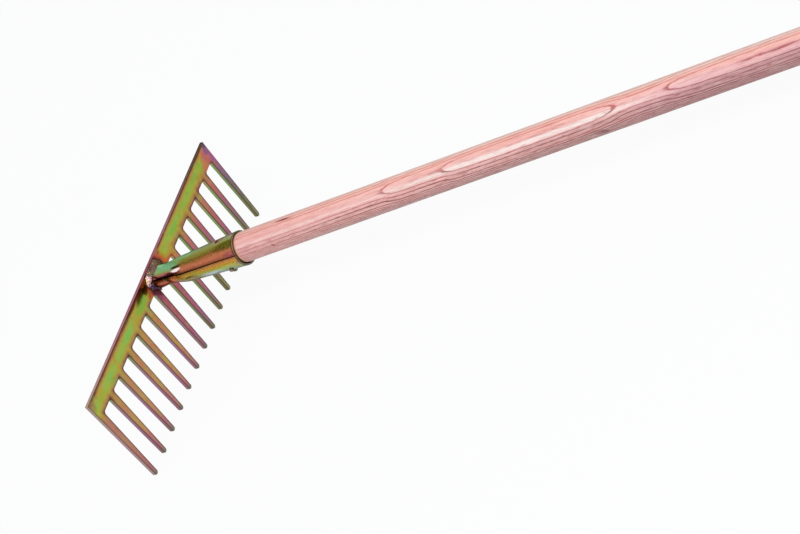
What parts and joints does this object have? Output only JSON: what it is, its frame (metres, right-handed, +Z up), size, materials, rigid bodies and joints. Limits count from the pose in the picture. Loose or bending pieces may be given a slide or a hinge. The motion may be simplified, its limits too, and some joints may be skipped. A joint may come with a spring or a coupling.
{
  "type": "construction rake",
  "caption": "Rake with a flat stamped steel comb of tapered teeth, welded to a rolled and seamed sheet socket that is screwed onto a long round wooden handle.",
  "frame": {"origin": "on the floor the rake lies on, at the centre of the bottom of its bounding box", "axes": "+Z up, +Y from the end of the handle towards the comb, X across the comb"},
  "size_m": [0.3422, 1.5578, 0.1035],
  "materials": {
    "comb_steel": "zinc plated, yellow chromate film with green, gold, pink and violet tints",
    "socket_steel": "zinc plated, yellow chromate film with green, gold and salmon tints",
    "weld_metal": "rippled weld under the same film, dark and uneven",
    "wood": "sanded, pale red softwood-like figure with darker growth lines",
    "screw_steel": "bright zinc"
  },
  "bodies": {
    "root": {"comb": "comb_steel", "socket": "socket_steel", "weld_bead": "weld_metal", "handle": "wood", "fixing_screw": "screw_steel"}
  },
  "joints": []
}
